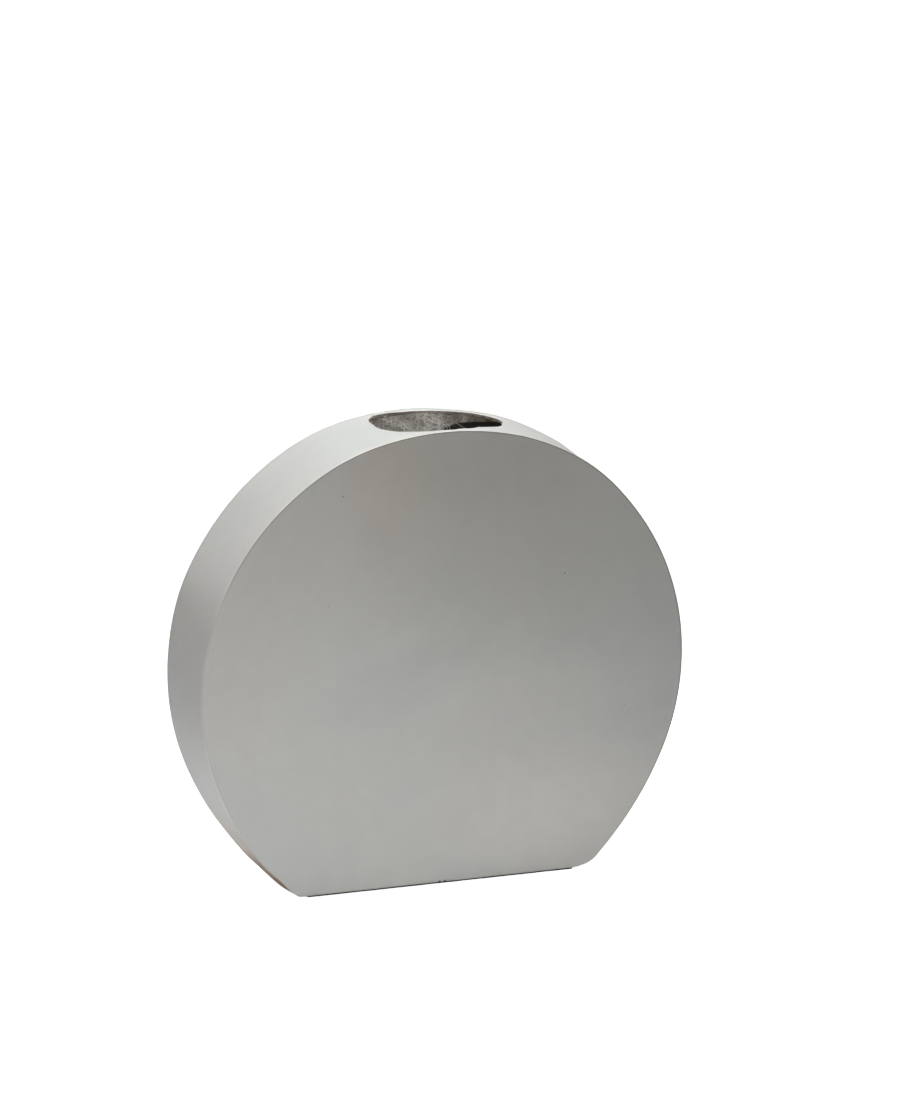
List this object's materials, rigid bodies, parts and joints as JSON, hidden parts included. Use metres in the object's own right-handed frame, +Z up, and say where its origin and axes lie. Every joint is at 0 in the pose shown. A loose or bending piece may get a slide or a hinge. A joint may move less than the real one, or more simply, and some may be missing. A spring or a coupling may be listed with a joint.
{
  "type": "wall vase",
  "caption": "Flat disc-shaped hollow vase with a bowed mouth cut in its rim, a flat foot to stand on and flush keyhole hangers in the back panel.",
  "frame": {"origin": "on the floor under the flat foot, at the middle of the width and of the depth", "axes": "+X along the width of the disc, to the right as the face is seen; +Y from the flat face towards the wall; +Z up"},
  "size_m": [0.5, 0.1072, 0.4575],
  "materials": {
    "lacquered_laminate": "satin",
    "back_laminate": "satin",
    "raw_laminate": "matte",
    "timber": "matte",
    "plated_steel": "satin",
    "screw_steel": "satin",
    "dark_rubber": "matte",
    "bumper_rubber": "matte"
  },
  "bodies": {
    "root": {"front_shell": "lacquered_laminate", "back_panel": "back_laminate", "bonding_tape": "raw_laminate", "hanger_block_left": "timber", "hanger_block_right": "timber", "keyhole_hanger_left": "plated_steel", "keyhole_hanger_right": "plated_steel", "hanger_screws": "screw_steel", "base_pad": "dark_rubber", "wall_bumpers": "bumper_rubber"}
  },
  "joints": []
}
